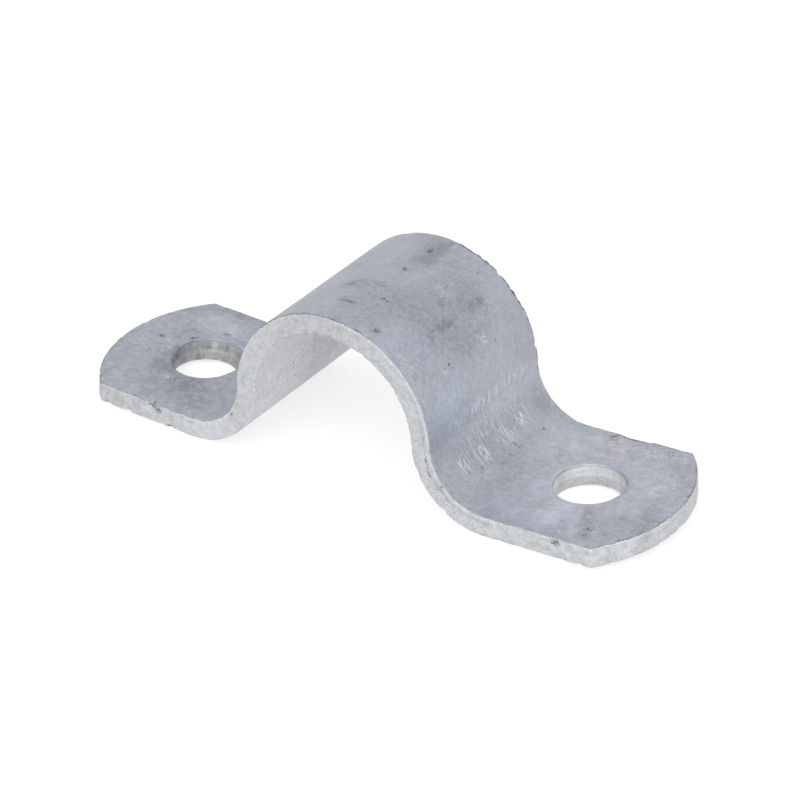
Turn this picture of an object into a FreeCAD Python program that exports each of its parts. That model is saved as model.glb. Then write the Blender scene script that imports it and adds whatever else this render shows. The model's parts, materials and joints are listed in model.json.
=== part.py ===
"""Conduit strap: a full saddle bent from one piece of flat steel bar and hot-dip galvanised.

The strap stands on the undersides of its two foot bends, at Z = 0. The conduit lies along Y under the
arch, the bar runs along X from toe to toe, and the origin is midway between the feet, under the crown.
One half is drawn from the crown to the toe: the bent bar, its rolled edges, the sheared toe, the hole
punched square to the foot, and the rounding of the cut edges. The finished half is then mirrored at the
crown. Lengths are in millimetres and angles in degrees.
"""

import FreeCAD, Part
import math
import os
from enum import IntEnum

import Sketcher

# Driving sizes of the finished strap, over its zinc: alias, value, meaning.
SIZES = (
    ("bar_width", 30.3, "30 mm bar with 0.15 mm of zinc on each edge"),
    ("bar_thickness", 3.3, "3 mm bar with 0.15 mm of zinc on each side"),
    ("bar_edge_radius", 0.3, "rolled long edges of the bar"),
    ("conduit_diameter", 26.9, "outside of the conduit that lies in the arch"),
    ("seat_clearance", 0.4, "gap all round the conduit, before the screws are tightened"),
    ("arch_half_angle", 86.5, "turn of the arch, from the crown to the leg"),
    ("leg_length", 0.6, "straight leg between the arch and the foot bend"),
    ("foot_bend_radius", 8.8, "foot bend, on the upper side of the bar"),
    ("foot_rise", 2.7, "slope of the foot, up from its bend to its toe"),
    ("bend_to_hole", 8.4, "end of the foot bend to the screw hole's centre, along the foot"),
    ("hole_to_toe", 15.1, "screw hole's centre to the tip of the toe, along the foot"),
    ("toe_bulge", 6.0, "how far the toe's arc stands out past its corners"),
    ("toe_edge_radius", 0.3, "rounding of the sheared toe's edges"),
    ("screw_diameter", 10.0, "shank of the screw"),
    ("screw_clearance", 0.15, "gap all round the screw: hole punched at 10.6 mm, less its zinc"),
    ("hole_entry_radius", 0.4, "rim of the hole on top, drawn in by the punch"),
    ("hole_exit_radius", 0.2, "rim of the hole underneath, rounded by the zinc"),
    ("shear_allowance", 3.0, "bar past the toe, and the shear's reach past the bar"),
)
VALUE = {alias: value for alias, value, _ in SIZES}

# Two shapes this close, in millimetres, touch.
NEAR = 1e-4


class Axis(IntEnum):
    """Numbers by which a sketch knows its own axes."""

    X = -1
    Y = -2


class At(IntEnum):
    """Numbers by which a sketch knows the points of an element. An axis starts at the origin."""

    START = 1
    END = 2
    CENTRE = 3


def make_sheet(doc):
    """Spreadsheet with one named cell for each driving size."""
    sheet = doc.addObject("Spreadsheet::Sheet", "Sizes")
    for row, (alias, value, meaning) in enumerate(SIZES, start=1):
        sheet.set(f"A{row}", alias)
        sheet.set(f"B{row}", str(value))
        sheet.set(f"C{row}", meaning)
        sheet.setAlias(f"B{row}", alias)
    doc.recompute()


def origin_plane(body, role):
    """One of the body's own three origin planes."""
    return next(item for item in body.Origin.OriginFeatures if item.Role == role)


def new_sketch(body, name, support):
    """Empty sketch lying on a plane."""
    sketch = body.newObject("Sketcher::SketchObject", name)
    sketch.AttachmentSupport = (support, [""])
    sketch.MapMode = "FlatFace"
    return sketch


def point(x, y):
    """Point or direction in a sketch's own plane."""
    return FreeCAD.Vector(x, y, 0)


def circle(centre, radius):
    """Circle in a sketch's own plane."""
    return Part.Circle(centre, FreeCAD.Vector(0, 0, 1), radius)


def arc(sketch, centre, radius, start_angle, end_angle):
    """Adds a counterclockwise arc, its angles in radians."""
    return sketch.addGeometry(Part.ArcOfCircle(circle(centre, radius), start_angle, end_angle))


def line(sketch, start, end):
    """Adds a straight line."""
    return sketch.addGeometry(Part.LineSegment(start, end))


def relate(sketch, kind, *items):
    """Adds a constraint that has no size."""
    return sketch.addConstraint(Sketcher.Constraint(kind, *items))


def drive(sketch, name, expression, kind, *items):
    """Adds a dimension that the spreadsheet drives. The last item is its value while it is drawn."""
    index = relate(sketch, kind, *items)
    sketch.renameConstraint(index, name)
    sketch.setExpression(f"Constraints.{name}", expression)


def measure(sketch, name, kind, *items):
    """Adds a reference dimension that later features read."""
    index = relate(sketch, kind, *items, 1.0)
    sketch.setDriving(index, False)
    sketch.renameConstraint(index, name)


def draw_side_view(sketch):
    """Half of the bent bar seen along the conduit: a closed loop from the crown to past the toe."""
    half_turn = math.radians(VALUE["arch_half_angle"])
    rise = math.radians(VALUE["foot_rise"])
    inner = VALUE["conduit_diameter"] / 2 + VALUE["seat_clearance"]
    outer = inner + VALUE["bar_thickness"]
    upper = VALUE["foot_bend_radius"]
    lower = upper + VALUE["bar_thickness"]
    foot_length = VALUE["bend_to_hole"] + VALUE["hole_to_toe"] + VALUE["shear_allowance"]
    away_from_arch = point(math.sin(half_turn), math.cos(half_turn))
    down_leg = point(math.cos(half_turn), -math.sin(half_turn))
    along_foot = point(math.cos(rise), math.sin(rise))
    below_foot = point(math.sin(rise), -math.cos(rise))
    to_bend = away_from_arch * (inner + lower) + down_leg * VALUE["leg_length"]
    bend_centre = point(to_bend.x, lower)
    arch_centre = bend_centre - to_bend
    heel_below = bend_centre + below_foot * lower
    heel_above = bend_centre + below_foot * upper
    end_below = heel_below + along_foot * foot_length
    end_above = heel_above + along_foot * foot_length
    upright = math.pi / 2
    down = 1.5 * math.pi

    seat = arc(sketch, arch_centre, inner, upright - half_turn, upright)
    leg_inside = line(sketch, arch_centre + away_from_arch * inner, bend_centre - away_from_arch * lower)
    bend_below = arc(sketch, bend_centre, lower, down - half_turn, down + rise)
    underside = line(sketch, heel_below, end_below)
    end = line(sketch, end_below, end_above)
    topside = line(sketch, heel_above, end_above)
    bend_above = arc(sketch, bend_centre, upper, down - half_turn, down + rise)
    leg_outside = line(sketch, arch_centre + away_from_arch * outer, bend_centre - away_from_arch * upper)
    back = arc(sketch, arch_centre, outer, upright - half_turn, upright)
    crown = line(sketch, arch_centre + point(0, inner), arch_centre + point(0, outer))
    hole = sketch.addGeometry(Part.Point(heel_below + along_foot * VALUE["bend_to_hole"]), True)

    relate(sketch, "Coincident", seat, At.CENTRE, back, At.CENTRE)
    relate(sketch, "Coincident", bend_below, At.CENTRE, bend_above, At.CENTRE)
    relate(sketch, "Tangent", seat, At.START, leg_inside, At.START)
    relate(sketch, "Tangent", leg_inside, At.END, bend_below, At.START)
    relate(sketch, "Tangent", bend_below, At.END, underside, At.START)
    relate(sketch, "Tangent", back, At.START, leg_outside, At.START)
    relate(sketch, "Tangent", leg_outside, At.END, bend_above, At.START)
    relate(sketch, "Tangent", bend_above, At.END, topside, At.START)
    relate(sketch, "Parallel", underside, topside)
    relate(sketch, "Coincident", underside, At.END, end, At.START)
    relate(sketch, "Coincident", topside, At.END, end, At.END)
    relate(sketch, "Perpendicular", underside, end)
    relate(sketch, "Coincident", seat, At.END, crown, At.START)
    relate(sketch, "Coincident", back, At.END, crown, At.END)
    relate(sketch, "PointOnObject", seat, At.CENTRE, Axis.Y)
    relate(sketch, "PointOnObject", seat, At.END, Axis.Y)
    relate(sketch, "PointOnObject", back, At.END, Axis.Y)
    relate(sketch, "PointOnObject", hole, At.START, underside)
    relate(sketch, "Tangent", bend_below, Axis.X)

    seat_radius = "Sizes.conduit_diameter / 2 + Sizes.seat_clearance"
    foot = "Sizes.bend_to_hole + Sizes.hole_to_toe + Sizes.shear_allowance"
    drive(sketch, "seat_radius", seat_radius, "Radius", seat, inner)
    drive(sketch, "bar_at_crown", "Sizes.bar_thickness", "Distance", crown, VALUE["bar_thickness"])
    drive(sketch, "bar_at_end", "Sizes.bar_thickness", "Distance", end, VALUE["bar_thickness"])
    drive(sketch, "bend_radius", "Sizes.foot_bend_radius", "Radius", bend_above, upper)
    drive(sketch, "leg_length", "Sizes.leg_length", "Distance", leg_inside, VALUE["leg_length"])
    drive(
        sketch, "arch_half_angle", "Sizes.arch_half_angle * 1 deg",
        "Angle", leg_inside, At.START, Axis.X, At.START, half_turn,
    )
    drive(
        sketch, "foot_rise", "Sizes.foot_rise * 1 deg",
        "Angle", Axis.X, At.START, underside, At.START, rise,
    )
    drive(sketch, "foot_length", foot, "Distance", underside, foot_length)
    drive(
        sketch, "bend_to_hole", "Sizes.bend_to_hole",
        "Distance", underside, At.START, hole, At.START, VALUE["bend_to_hole"],
    )
    measure(sketch, "hole_across", "DistanceX", Axis.X, At.START, hole, At.START)
    measure(sketch, "hole_height", "DistanceY", Axis.X, At.START, hole, At.START)


def draw_toe_shear(sketch):
    """Everything past the arc of the toe, seen square to the foot and measured from the hole."""
    tip = VALUE["hole_to_toe"]
    bulge = VALUE["toe_bulge"]
    half_width = VALUE["bar_width"] / 2
    radius = (half_width ** 2 + bulge ** 2) / (2 * bulge)
    reach = VALUE["shear_allowance"]
    sweep = math.atan2(half_width, radius - bulge)
    far = tip + 2 * reach
    side = half_width + reach

    toe = arc(sketch, point(tip - radius, 0), radius, -sweep, sweep)
    left_corner = line(sketch, point(tip - bulge, -half_width), point(tip - bulge, -side))
    left = line(sketch, point(tip - bulge, -side), point(far, -side))
    past = line(sketch, point(far, -side), point(far, side))
    right = line(sketch, point(far, side), point(tip - bulge, side))
    right_corner = line(sketch, point(tip - bulge, side), point(tip - bulge, half_width))
    tip_point = sketch.addGeometry(Part.Point(point(tip, 0)), True)

    relate(sketch, "Coincident", toe, At.START, left_corner, At.START)
    relate(sketch, "Coincident", left_corner, At.END, left, At.START)
    relate(sketch, "Coincident", left, At.END, past, At.START)
    relate(sketch, "Coincident", past, At.END, right, At.START)
    relate(sketch, "Coincident", right, At.END, right_corner, At.START)
    relate(sketch, "Coincident", right_corner, At.END, toe, At.END)
    relate(sketch, "Vertical", left_corner)
    relate(sketch, "Vertical", right_corner)
    relate(sketch, "Horizontal", left)
    relate(sketch, "Horizontal", right)
    relate(sketch, "PointOnObject", toe, At.CENTRE, Axis.X)
    relate(sketch, "Vertical", toe, At.START, toe, At.END)
    relate(sketch, "Symmetric", past, At.START, past, At.END, Axis.X)
    relate(sketch, "PointOnObject", tip_point, At.START, Axis.X)
    relate(sketch, "PointOnObject", tip_point, At.START, toe)

    bar_side = "Sizes.bar_width / 2"
    past_bar_side = "Sizes.bar_width / 2 + Sizes.shear_allowance"
    past_bar_end = "Sizes.hole_to_toe + 2 * Sizes.shear_allowance"
    drive(sketch, "hole_to_toe", "Sizes.hole_to_toe", "DistanceX", Axis.X, At.START, tip_point, At.START, tip)
    drive(sketch, "toe_bulge", "Sizes.toe_bulge", "DistanceX", toe, At.END, tip_point, At.START, bulge)
    drive(sketch, "bar_side", bar_side, "DistanceY", Axis.X, At.START, toe, At.END, half_width)
    drive(sketch, "past_bar_side", past_bar_side, "DistanceY", Axis.X, At.START, past, At.END, side)
    drive(sketch, "past_bar_end", past_bar_end, "DistanceX", Axis.X, At.START, past, At.END, far)


def draw_hole(sketch):
    """Outline of the punch, centred on the sketch's origin."""
    radius = VALUE["screw_diameter"] / 2 + VALUE["screw_clearance"]
    hole = sketch.addGeometry(circle(point(0, 0), radius))
    relate(sketch, "Coincident", hole, At.CENTRE, Axis.X, At.START)
    drive(sketch, "hole_radius", "Sizes.screw_diameter / 2 + Sizes.screw_clearance", "Radius", hole, radius)


def make_foot_plane(body):
    """Plane of the foot's underside, its origin at the hole's centre and its X towards the toe."""
    plane = body.newObject("PartDesign::Plane", "foot_plane")
    plane.AttachmentSupport = (origin_plane(body, "XY_Plane"), [""])
    plane.MapMode = "FlatFace"
    plane.setExpression("AttachmentOffset.Base.x", "side_view.Constraints.hole_across")
    plane.setExpression("AttachmentOffset.Base.z", "side_view.Constraints.hole_height")
    plane.setExpression("AttachmentOffset.Rotation.Axis.y", "-1")
    plane.setExpression("AttachmentOffset.Rotation.Axis.z", "0")
    plane.setExpression("AttachmentOffset.Rotation.Angle", "Sizes.foot_rise")
    body.Document.recompute()
    return plane


def cut_through(body, name, sketch):
    """Cuts a sketch's outline out of the whole thickness of the foot."""
    before = body.Tip.Shape.Volume
    pocket = body.newObject("PartDesign::Pocket", name)
    pocket.Profile = sketch
    pocket.SideType = "Symmetric"
    pocket.Type = "ThroughAll"
    body.Document.recompute()
    if pocket.Shape.Volume > before - 1:
        raise RuntimeError(f"{name} cuts nothing away")


def round_edges(body, name, size, belongs):
    """Rounds, by one of the driving sizes, the edges whose middle passes a test."""
    base = body.Tip
    edges = []
    for number, edge in enumerate(base.Shape.Edges, start=1):
        middle = edge.valueAt((edge.FirstParameter + edge.LastParameter) / 2)
        if belongs(middle):
            edges.append(f"Edge{number}")
    fillet = body.newObject("PartDesign::Fillet", name)
    fillet.Base = (base, edges)
    fillet.setExpression("Radius", f"Sizes.{size}")
    body.Document.recompute()


def make_strap(doc):
    """The whole strap, as one body."""
    body = doc.addObject("PartDesign::Body", "strap")
    body.Label = "strap"
    thickness = VALUE["bar_thickness"]
    half_width = VALUE["bar_width"] / 2
    hole_radius = VALUE["screw_diameter"] / 2 + VALUE["screw_clearance"]
    bar_end = VALUE["hole_to_toe"] + VALUE["shear_allowance"]

    side_view = new_sketch(body, "side_view", origin_plane(body, "XZ_Plane"))
    draw_side_view(side_view)
    bar = body.newObject("PartDesign::Pad", "bar")
    bar.Profile = side_view
    bar.SideType = "Symmetric"
    bar.setExpression("Length", "Sizes.bar_width")
    doc.recompute()

    foot_plane = make_foot_plane(body)
    into_foot = foot_plane.Placement.inverse()

    def on_long_edge(at):
        off_side = abs(abs(at.y) - half_width)
        return off_side < NEAR and at.x > NEAR and into_foot.multVec(at).x < bar_end - NEAR

    round_edges(body, "rolled_edges", "bar_edge_radius", on_long_edge)

    toe_outline = new_sketch(body, "toe_outline", foot_plane)
    draw_toe_shear(toe_outline)
    cut_through(body, "sheared_toe", toe_outline)

    hole_outline = new_sketch(body, "hole_outline", foot_plane)
    draw_hole(hole_outline)
    cut_through(body, "punched_hole", hole_outline)

    tip = Part.Vertex(foot_plane.Placement.multVec(FreeCAD.Vector(VALUE["hole_to_toe"], 0, thickness / 2)))
    toe_face = min(body.Tip.Shape.Faces, key=lambda face: face.distToShape(tip)[0])

    def on_toe(at):
        return toe_face.distToShape(Part.Vertex(at))[0] < NEAR

    round_edges(body, "toe_edges", "toe_edge_radius", on_toe)

    def on_hole_rim(at, height):
        seen = into_foot.multVec(at)
        return abs(math.hypot(seen.x, seen.y) - hole_radius) < NEAR and abs(seen.z - height) < NEAR

    round_edges(body, "hole_entry", "hole_entry_radius", lambda at: on_hole_rim(at, thickness))
    round_edges(body, "hole_exit", "hole_exit_radius", lambda at: on_hole_rim(at, 0))

    other_half = body.newObject("PartDesign::Mirrored", "other_half")
    other_half.TransformMode = "Whole shape"
    other_half.MirrorPlane = (origin_plane(body, "YZ_Plane"), [""])
    other_half.Refine = True
    body.Tip = other_half
    doc.recompute()
    return body


def check(doc, strap):
    """Stops the build if any object failed or if the strap isn't one valid solid."""
    for item in doc.Objects:
        if "Invalid" in item.State or "Error" in item.State:
            raise RuntimeError(f"{item.Name} has the state {item.State}")
    shape = strap.Shape
    if shape.isNull() or not shape.isValid() or len(shape.Solids) != 1:
        raise RuntimeError("the strap isn't one valid solid")


def main():
    os.makedirs("parts", exist_ok=True)
    doc = FreeCAD.newDocument("conduit_strap")
    make_sheet(doc)
    strap = make_strap(doc)
    check(doc, strap)
    strap.Shape.exportStep(f"parts/{strap.Label}.step")


main()
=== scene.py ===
"""Galvanised conduit strap: one piece of flat bar, punched, sheared, bent and hot-dip galvanised.

The strap is made as it is in the shop. A flat blank is meshed with its punched holes and sheared toes, the
zinc's lumps and nicks are raised on it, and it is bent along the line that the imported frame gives. The
zinc's colours follow the blank, so its marks run round the bends with the metal.
"""

import json
import math
from types import SimpleNamespace

import bmesh
import bpy
import numpy as np
from bpy.props import FloatProperty, FloatVectorProperty, PointerProperty
from mathutils import Matrix, Vector, noise


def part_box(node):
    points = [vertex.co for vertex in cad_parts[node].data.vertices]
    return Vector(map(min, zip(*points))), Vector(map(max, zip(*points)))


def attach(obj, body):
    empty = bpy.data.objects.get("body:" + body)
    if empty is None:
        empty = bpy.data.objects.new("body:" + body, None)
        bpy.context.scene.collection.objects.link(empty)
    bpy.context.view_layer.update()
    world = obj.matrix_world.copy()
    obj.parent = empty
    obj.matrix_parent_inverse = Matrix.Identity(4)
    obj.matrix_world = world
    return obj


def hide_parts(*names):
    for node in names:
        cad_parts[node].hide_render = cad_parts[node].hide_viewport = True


bl_info = {
    "name": "Galvanised conduit strap",
    "version": (1, 0, 0),
    "blender": (4, 5, 0),
    "location": "3D View > Sidebar > Strap",
    "description": "Builds a bent and galvanised conduit strap on its packed frame",
    "category": "Add Mesh",
}

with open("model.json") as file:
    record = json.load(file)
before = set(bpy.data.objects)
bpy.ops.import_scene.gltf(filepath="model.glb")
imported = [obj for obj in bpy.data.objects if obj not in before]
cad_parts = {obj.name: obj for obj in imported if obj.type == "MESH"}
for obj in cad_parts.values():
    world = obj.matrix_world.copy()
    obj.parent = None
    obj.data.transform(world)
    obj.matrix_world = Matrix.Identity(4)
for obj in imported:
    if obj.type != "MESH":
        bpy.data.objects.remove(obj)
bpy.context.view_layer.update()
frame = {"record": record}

MM = 0.001
NODE = "strap"

# Names by which the zinc's material reads what the mesh knows of each point.
PLACE = "bar_place"  # along the flat bar, across it, and up from its middle
EDGES = "edge_place"  # in from the bar's outline, out from the hole's wall, and down from the top face
MARKS_AND_PAINTED_LIGHT = "marks_and_painted_light"  # tone, with painted shade and painted light in places, and warmth, 0.5 being plain zinc; specks, dark above 0, bright below; rubbing
EDGE_SHADE_AND_ASH = "edge_shade_and_ash"  # how dark the painted shade and the ash lie along a sharp edge


def read_bar():
    """The bar's sizes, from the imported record's mounts and the node's box."""
    mounts = {mount["name"]: mount for mount in frame["record"]["mounts"]}
    seat = mounts["conduit_seat"]
    hole = mounts["screw_hole_right"]
    _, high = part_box(NODE)
    thick = hole["dims"]["length_mm"] * MM
    rise = math.atan2(-hole["axis"][0], hole["axis"][2])
    hole_x = hole["pos_m"][0] + math.sin(rise) * thick / 2
    return SimpleNamespace(
        width=seat["dims"]["length_mm"] * MM,
        thick=thick,
        seat_radius=seat["dims"]["r_mm"] * MM,
        seat_height=seat["pos_m"][2],
        hole_radius=hole["dims"]["r_mm"] * MM,
        rise=rise,
        hole_x=hole_x,
        hole_z=hole["pos_m"][2] - math.cos(rise) * thick / 2,
        toe_reach=(high[0] - hole_x) / math.cos(rise),
    )


BAR = read_bar()


def length(name, description, default, least=-1.0):
    """Setting for a length."""
    return FloatProperty(name=name, description=description, default=default, min=least, unit="LENGTH")


class StrapShape(bpy.types.PropertyGroup):
    """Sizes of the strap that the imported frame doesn't give."""

    bend_radius: length("Foot bend", "Radius of the foot bend on its upper side", 8.8 * MM, 2 * MM)
    toe_bulge: length("Toe bulge", "How far the toe's arc stands out past its corners", 6.0 * MM, 1 * MM)
    edge_radius: length("Edges", "Rounding of the long edges and of the sheared toes", 0.3 * MM, 0.1 * MM)
    hole_entry: length("Hole entry", "Rim of the hole on top, drawn in by the punch", 0.4 * MM, 0.1 * MM)
    hole_exit: length("Hole exit", "Rim of the hole underneath", 0.2 * MM, 0.05 * MM)
    mesh_step: length("Mesh step", "Width of the faces of the mesh", 0.36 * MM, 0.2 * MM)
    zinc_lumps: FloatProperty(
        name="Zinc lumps", description="Height of the zinc's lumps and nicks, 1 as dipped",
        default=1.0, min=0.0, max=3.0, subtype="FACTOR",
    )


def zinc_colour(name, description, default):
    """Setting for one of the zinc's colours."""
    return FloatVectorProperty(
        name=name, description=description, default=default, min=0, max=1, size=3, subtype="COLOR",
    )


class ZincFinish(bpy.types.PropertyGroup):
    """Colours of the zinc."""

    rolled: zinc_colour("Rolled face", "Zinc on the bar's flat faces", (0.448, 0.459, 0.530))
    rolled_dark: zinc_colour("Rolled face, dull", "Duller clouds on the flat faces", (0.335, 0.352, 0.404))
    # Partly painted light: the cut edges' colours are paler to stand in for the brighter light on faces
    # turned to the front.
    cut: zinc_colour("Cut edge", "Coarser zinc on the sheared edges", (0.605, 0.616, 0.640))
    cut_dark: zinc_colour("Cut edge, dull", "Dull grains on the sheared edges", (0.395, 0.408, 0.424))
    hole: zinc_colour("Hole wall", "Zinc in the screw holes", (0.540, 0.550, 0.560))
    # Partly painted light: the under side is paler to stand in for the light thrown up from the floor into
    # the arch.
    seat: zinc_colour("Under side", "Smooth zinc on the side against the conduit", (0.600, 0.607, 0.640))
    # This dark colour is ash in the pits and specks, and painted shade in the line along the sharp edges.
    ash_and_shade: zinc_colour("Ash", "Flux ash in the pits and along the sharp edges", (0.085, 0.083, 0.080))
    stain: zinc_colour("Stain", "Yellowish stain round the pits", (0.330, 0.335, 0.305))
    cool: zinc_colour("Cool tint", "Tint of the bluest clouds", (0.930, 0.982, 1.000))
    warm: zinc_colour("Warm tint", "Tint of the brownest clouds", (1.000, 0.962, 0.925))
    bright: zinc_colour(
        "Scratches", "Bright zinc where the forming tool rubbed, and in flecks", (0.780, 0.795, 0.830),
    )


class StudioStage(bpy.types.PropertyGroup):
    """Camera and light."""

    azimuth: FloatProperty(
        name="Azimuth", description="Camera's turn from the front",
        default=math.radians(33.93), subtype="ANGLE",
    )
    elevation: FloatProperty(
        name="Elevation", description="Camera's angle above the floor",
        default=math.radians(30.57), subtype="ANGLE",
    )
    roll: FloatProperty(
        name="Roll", description="Camera's lean", default=math.radians(-1.03), subtype="ANGLE",
    )
    distance: length("Distance", "Camera to the strap", 430.9 * MM)
    lens: FloatProperty(name="Lens", description="Focal length in millimetres", default=129.08, min=1)
    aim_x: length("Aim along the bar", "From the crown to the point aimed at", 2.02 * MM)
    aim_z: length("Aim height", "Height of the point aimed at", 7.71 * MM)
    room: FloatProperty(name="Room light", description="Light from all round", default=0.72, min=0)
    key: FloatProperty(
        name="Key light", description="What the high front lamp adds to a white face turned to it",
        default=0.38, min=0,
    )
    fill: FloatProperty(
        name="Fill light", description="What the low side lamp adds to a white face turned to it",
        default=0.30, min=0,
    )


# -------------------- the blank and its bend line


def bend_line(shape):
    """The bar's centreline from crown to toe: where along it each bend starts and ends."""
    half = BAR.thick / 2
    lower = shape.bend_radius + BAR.thick
    ground_x = BAR.hole_x - BAR.hole_z / math.tan(BAR.rise)
    bend_x = ground_x - lower * math.tan(BAR.rise / 2)
    drop = lower - BAR.seat_height
    radii = BAR.seat_radius + lower
    leg = math.sqrt(bend_x ** 2 + drop ** 2 - radii ** 2)
    turn = math.atan2(bend_x, drop) - math.atan2(leg, radii)
    arch_end = turn * (BAR.seat_radius + half)
    leg_end = arch_end + leg
    heel = leg_end + (turn + BAR.rise) * (shape.bend_radius + half)
    heel_x = bend_x + lower * math.sin(BAR.rise)
    hole = heel + (BAR.hole_x - heel_x) / math.cos(BAR.rise)
    toe_radius = ((BAR.width / 2) ** 2 + shape.toe_bulge ** 2) / (2 * shape.toe_bulge)
    return SimpleNamespace(
        half=half, lower=lower, bend_x=bend_x, turn=turn, arch_end=arch_end, leg_end=leg_end,
        heel=heel, hole=hole, toe_radius=toe_radius, toe_centre=hole + BAR.toe_reach - toe_radius,
    )


def bend_points(line, flat):
    """Carries points of the flat blank (along, across, up) to the bent strap."""
    along = np.abs(flat[:, 0])
    side = np.where(flat[:, 0] < 0, -1.0, 1.0)
    up = flat[:, 2]

    angle = np.minimum(along, line.arch_end) / (BAR.seat_radius + line.half)
    down_leg = np.clip(along, line.arch_end, line.leg_end) - line.arch_end
    radius = BAR.seat_radius + line.half + up
    arch_x = radius * np.sin(angle) + down_leg * math.cos(line.turn)
    arch_z = BAR.seat_height + radius * np.cos(angle) - down_leg * math.sin(line.turn)

    centre_radius = line.lower - line.half
    turned = np.clip((along - line.leg_end) / centre_radius, 0, line.turn + BAR.rise)
    along_foot = np.maximum(along - line.heel, 0)
    to_centre = line.turn - turned
    foot_x = line.bend_x - (centre_radius - up) * np.sin(to_centre) + along_foot * math.cos(BAR.rise)
    foot_z = line.lower - (centre_radius - up) * np.cos(to_centre) + along_foot * math.sin(BAR.rise)

    past_leg = along > line.leg_end
    x = np.where(past_leg, foot_x, arch_x) * side
    z = np.where(past_leg, foot_z, arch_z)
    return np.stack([x, flat[:, 1], z], axis=1)


# How the blank is meshed: points round each rounded edge and down its wall, rings of a foot's faces and how
# much they widen outwards, where a foot starts before its hole, and what counts as one point.
CORNER_STEPS = 5
WALL_STEPS = 10
RINGS = 30
RING_SPREAD = 1.2
FOOT_START = 12 * MM
WELD = 0.001 * MM


class Blank:
    """Grids of points of the flat blank, gathered and welded into one mesh."""

    def __init__(self):
        self.points = []
        self.faces = []
        self.count = 0

    def grid(self, points):
        """Adds a grid of points, given as rows x columns x (along, across, up)."""
        rows, columns, _ = points.shape
        index = np.arange(rows * columns).reshape(rows, columns) + self.count
        corners = [index[:-1, :-1], index[1:, :-1], index[1:, 1:], index[:-1, 1:]]
        self.faces.append(np.stack(corners, axis=-1).reshape(-1, 4))
        self.points.append(points.reshape(-1, 3))
        self.count += rows * columns

    def welded(self):
        """Points without doubles, and the faces on them."""
        points = np.concatenate(self.points)
        faces = np.concatenate(self.faces)
        keys = np.round(points / WELD).astype(np.int64)
        _, first, place = np.unique(keys, axis=0, return_index=True, return_inverse=True)
        return points[first], place.reshape(-1)[faces]


def steps(start, end, size):
    """Evenly spaced values from start to end, about size apart."""
    return np.linspace(start, end, max(2, round(abs(end - start) / size)) + 1)


def at(points, value):
    """Points with one more coordinate, the same for all."""
    return np.column_stack([points, np.full(len(points), value)])


def toe_arc(line, inset, share):
    """Points of the toe's arc, set in from its outline, from the bar's front to its back."""
    across = (BAR.width / 2 - inset) * share
    return np.stack([line.toe_centre + np.sqrt((line.toe_radius - inset) ** 2 - across ** 2), across], axis=1)


def round_profile(entry, exit_):
    """Section of an edge from the top face to the bottom one: how far it is set in, and its height."""
    half = BAR.thick / 2
    turn = np.linspace(0, math.pi / 2, CORNER_STEPS)
    wall = [(0.0, up) for up in np.linspace(half - entry, exit_ - half, WALL_STEPS)[1:-1]]

    def corner(radius, face):
        return [(radius * (1 - math.sin(a)), face * (half - radius * (1 - math.cos(a)))) for a in turn]

    return corner(entry, 1) + wall + corner(exit_, -1)[::-1]


def edge_wall(blank, inner, outer, radius):
    """Rounded wall along a stretch of the outline, from the top face round to the bottom one."""
    rows = [at(outer + (inner - outer) * (inset / radius), up) for inset, up in round_profile(radius, radius)]
    blank.grid(np.array(rows))


def flat_faces(blank, top, bottom):
    """Top face from one grid of flat points, and bottom face from another."""
    for flat, up in ((top, BAR.thick / 2), (bottom, -BAR.thick / 2)):
        blank.grid(np.concatenate([flat, np.full(flat.shape[:2] + (1,), up)], axis=2))


def make_foot(shape, line, start, across):
    """A foot's faces, in rings from the hole's rims out to its edges, its edges, and the hole's wall."""
    foot = Blank()
    radius = shape.edge_radius
    share = across / across[-1]
    toe = toe_arc(line, radius, share)
    sharp_toe = toe_arc(line, 0, share)
    side = steps(start, toe[0, 0], shape.mesh_step)
    sharp_side = np.linspace(start, sharp_toe[0, 0], len(side))

    front = at(side, across[0])
    rear = at(side, across[-1])
    back = np.column_stack([np.full(len(across), start), across[::-1]])
    outline = np.concatenate([back[:-1], front[:-1], toe[:-1], rear[::-1]])
    angle = np.arctan2(outline[:, 1], outline[:, 0] - line.hole)
    spoke = np.column_stack([np.cos(angle), np.sin(angle)])
    rings = np.linspace(0, 1, RINGS) ** RING_SPREAD

    def face_from(rim):
        inside = np.array([line.hole, 0]) + spoke * (BAR.hole_radius + rim)
        return inside + (outline - inside) * rings[:, None, None]

    flat_faces(foot, face_from(shape.hole_entry), face_from(shape.hole_exit))
    wall = [
        at(spoke * (BAR.hole_radius + inset) + [line.hole, 0], up)
        for inset, up in round_profile(shape.hole_entry, shape.hole_exit)
    ]
    foot.grid(np.array(wall))
    edge_wall(foot, toe, sharp_toe, radius)
    edge_wall(foot, front, at(sharp_side, -BAR.width / 2), radius)
    edge_wall(foot, rear, at(sharp_side, BAR.width / 2), radius)
    return foot


def flat_blank(shape, line):
    """The whole flat blank: the middle of the bar and two feet."""
    blank = Blank()
    start = line.hole - FOOT_START
    inside = BAR.width / 2 - shape.edge_radius
    across = steps(-inside, inside, shape.mesh_step)
    along = steps(-start, start, shape.mesh_step)
    middle = np.stack(np.meshgrid(along, across, indexing="ij"), axis=2)
    flat_faces(blank, middle, middle)
    for side in (-1, 1):
        edge_wall(blank, at(along, side * inside), at(along, side * BAR.width / 2), shape.edge_radius)

    foot = make_foot(shape, line, start, across)
    for side in (-1, 1):
        blank.points += [points * (side, 1, 1) for points in foot.points]
        blank.faces += [faces + blank.count for faces in foot.faces]
        blank.count += foot.count
    return blank.welded()


# -------------------- the zinc's lumps and nicks

SEED_SHIFT = (17.3, 5.1, 9.7)  # how far each seed shifts the noise


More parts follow.
